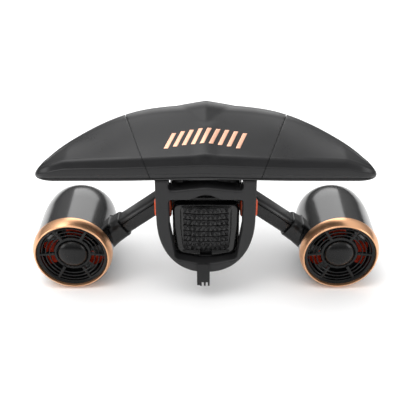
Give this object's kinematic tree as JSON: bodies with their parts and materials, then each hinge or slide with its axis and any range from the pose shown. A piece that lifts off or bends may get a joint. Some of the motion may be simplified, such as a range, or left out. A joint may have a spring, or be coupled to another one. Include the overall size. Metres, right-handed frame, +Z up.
{
  "type": "underwater scooter",
  "caption": "Hand-held diver propulsion vehicle: ducted thrusters on two arms, U-shaped handle with triggers, slide-out battery and lift-off buoyancy float.",
  "frame": {"origin": "middle of the footprint, on the surface that the two thrusters stand on", "axes": "+Z up, +Y the way it travels, +X to the diver's right"},
  "size_m": [0.54, 0.18, 0.29],
  "materials": {
    "float_shell": "satin moulded plastic",
    "float_base_plate": "black moulded plastic",
    "copper_inlay": "brushed rose copper",
    "foam": "closed-cell foam",
    "screw_steel": "stainless",
    "dock_plastic": "black moulded plastic",
    "hull_plastic": "satin moulded plastic",
    "panel_plastic": "black moulded plastic",
    "display_lens": "smoked gloss",
    "circuit_board": "board lacquer",
    "battery_shell": "moulded plastic",
    "battery_cell": "sleeved cells",
    "grip_rubber": "textured grip",
    "seal_rubber": "soft seal",
    "catch_plastic": "black moulded plastic",
    "handle_plastic": "satin moulded plastic",
    "trigger_plastic": "orange moulded plastic",
    "pin_steel": "stainless",
    "mount_plastic": "glass-filled plastic",
    "arm_paint": "dark satin paint",
    "arm_cover_paint": "dark satin paint",
    "collar_plastic": "satin moulded plastic",
    "lead_rubber": "cable jacket",
    "duct_paint": "dark gloss",
    "copper_ring_metal": "rose copper anodised",
    "guard_plastic": "black moulded plastic",
    "motor_aluminium": "anodised",
    "winding_copper": "windings",
    "rotor_steel": "magnet bell",
    "bearing_steel": "bearing steel",
    "propeller_plastic": "red moulded plastic",
    "nut_brass": "turned brass"
  },
  "bodies": {
    "scooter": {"arm_covers": "arm_cover_paint", "arm_left": "arm_paint", "arm_right": "arm_paint", "camera_mount": "mount_plastic", "camera_nut": "screw_steel", "collar_left": "collar_plastic", "collar_right": "collar_plastic", "control_board": "circuit_board", "copper_ring_left": "copper_ring_metal", "copper_ring_right": "copper_ring_metal", "display_window": "display_lens", "duct_left": "duct_paint", "duct_right": "duct_paint", "float_dock": "dock_plastic", "front_guard_left": "guard_plastic", "front_guard_right": "guard_plastic", "handle_frame": "handle_plastic", "handle_screws": "screw_steel", "hub_cap_left": "guard_plastic", "hub_cap_right": "guard_plastic", "hull_lower": "hull_plastic", "hull_upper": "hull_plastic", "motor_bearings": "bearing_steel", "motor_housing_left": "motor_aluminium", "motor_housing_right": "motor_aluminium", "motor_leads": "lead_rubber", "motor_stator_left": "winding_copper", "motor_stator_right": "winding_copper", "nose_cone": "hull_plastic", "rear_guard_left": "guard_plastic", "rear_guard_right": "guard_plastic", "rear_panel": "panel_plastic", "shaft_seals": "seal_rubber", "trigger_pins": "pin_steel", "trigger_springs": "pin_steel"},
    "float": {"float_centre": "float_shell", "float_wing_left": "float_shell", "float_wing_right": "float_shell", "float_inlay": "copper_inlay", "float_foam": "foam", "float_base": "float_base_plate", "float_screws": "screw_steel"},
    "float_catch": {"float_catch": "dock_plastic"},
    "battery": {"battery_case": "battery_shell", "battery_cells": "battery_cell", "battery_cap": "grip_rubber", "battery_seal": "seal_rubber"},
    "battery_catch": {"battery_catch": "catch_plastic"},
    "power_button": {"power_button": "panel_plastic"},
    "trigger_left": {"trigger_left": "trigger_plastic"},
    "trigger_right": {"trigger_right": "trigger_plastic"},
    "propeller_left": {"propeller_left": "propeller_plastic", "prop_nut_left": "nut_brass", "motor_shaft_left": "pin_steel", "motor_rotor_left": "rotor_steel"},
    "propeller_right": {"propeller_right": "propeller_plastic", "prop_nut_right": "nut_brass", "motor_shaft_right": "pin_steel", "motor_rotor_right": "rotor_steel"}
  },
  "joints": [
    {"name": "float_lift", "type": "slide", "parent": "scooter", "child": "float", "axis": [0, 0, 1], "range_m": [0, 0.06]},
    {"name": "float_catch_slide", "type": "slide", "parent": "scooter", "child": "float_catch", "axis": [0, -1, 0], "range_m": [0, 0.003], "stiffness_N_per_m": 500, "springref_m": -0.002},
    {"name": "battery_slide", "type": "slide", "parent": "scooter", "child": "battery", "axis": [0, -1, 0], "range_m": [0, 0.12]},
    {"name": "battery_catch_slide", "type": "slide", "parent": "battery", "child": "battery_catch", "axis": [0, 0, 1], "range_m": [0, 0.003], "stiffness_N_per_m": 500, "springref_m": -0.002},
    {"name": "power_button_press", "type": "slide", "parent": "scooter", "child": "power_button", "axis": [0, 1, 0], "range_m": [0, 0.0015], "stiffness_N_per_m": 800, "springref_m": -0.001},
    {"name": "trigger_left_squeeze", "type": "hinge", "parent": "scooter", "child": "trigger_left", "pos_m": [-0.063, -0.052, 0.166], "axis": [-1, 0, 0], "range_deg": [0, 9], "stiffness_Nm_per_rad": 0.6, "springref_deg": -8.59},
    {"name": "trigger_right_squeeze", "type": "hinge", "parent": "scooter", "child": "trigger_right", "pos_m": [0.063, -0.052, 0.166], "axis": [-1, 0, 0], "range_deg": [0, 9], "stiffness_Nm_per_rad": 0.6, "springref_deg": -8.59},
    {"name": "propeller_left_spin", "type": "hinge", "parent": "scooter", "child": "propeller_left", "pos_m": [-0.208, -0.014, 0.062], "axis": [0, 1, 0], "continuous": true},
    {"name": "propeller_right_spin", "type": "hinge", "parent": "scooter", "child": "propeller_right", "pos_m": [0.208, -0.014, 0.062], "axis": [0, 1, 0], "continuous": true}
  ]
}
